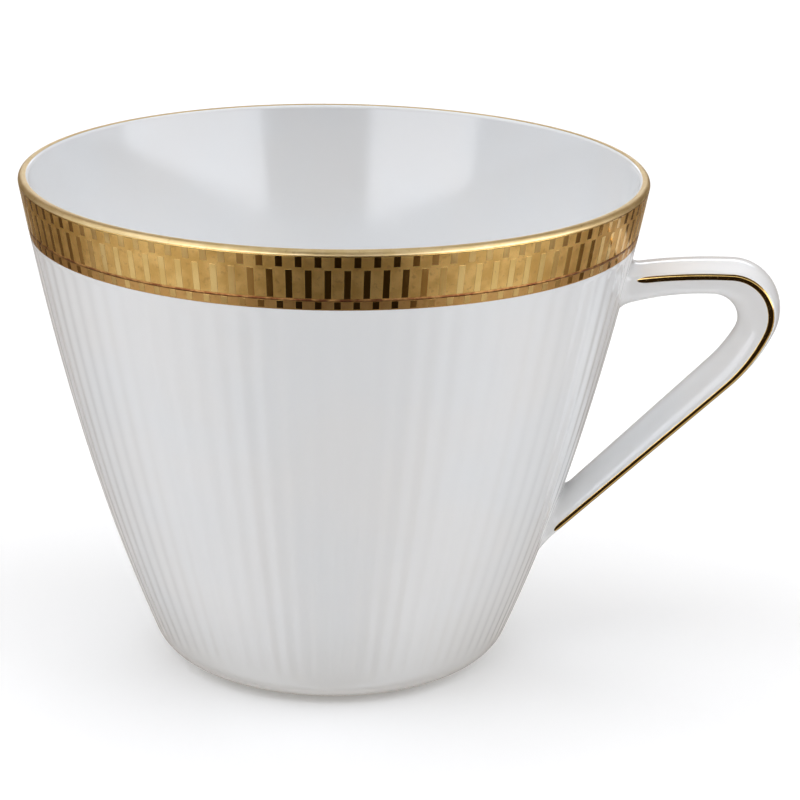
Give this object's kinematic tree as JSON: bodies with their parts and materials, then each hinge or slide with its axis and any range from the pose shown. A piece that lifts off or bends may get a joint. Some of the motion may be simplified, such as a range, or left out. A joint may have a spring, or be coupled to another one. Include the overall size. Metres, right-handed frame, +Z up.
{
  "type": "coffee cup",
  "caption": "Conical fluted porcelain coffee cup with a bent strap handle, standing on a foot ring, gilded on the lip, round the rim and along the handle's edges.",
  "frame": {"origin": "on the table under the middle of the part's footprint box, between the cup's far side and the handle's bend", "axes": "+X towards the handle, +Z up along the cup's axis, +Y across, to the left seen from the cup towards its handle"},
  "size_m": [0.1022, 0.0842, 0.0676],
  "materials": {
    "porcelain": "white porcelain under a clear gloss glaze",
    "fired_slip": "slip of the same porcelain, fired and glazed with it",
    "etched_gold": "fired gold on etched porcelain, matte ground with polished bars and squares",
    "polished_gold": "fired gold, burnished to a mirror"
  },
  "bodies": {
    "root": {"cup_body": "porcelain", "handle": "porcelain", "upper_handle_joint": "fired_slip", "lower_handle_joint": "fired_slip", "etched_gold_band": "etched_gold", "lip_gold_line": "polished_gold", "handle_gold_line_left": "polished_gold", "handle_gold_line_right": "polished_gold"}
  },
  "joints": []
}
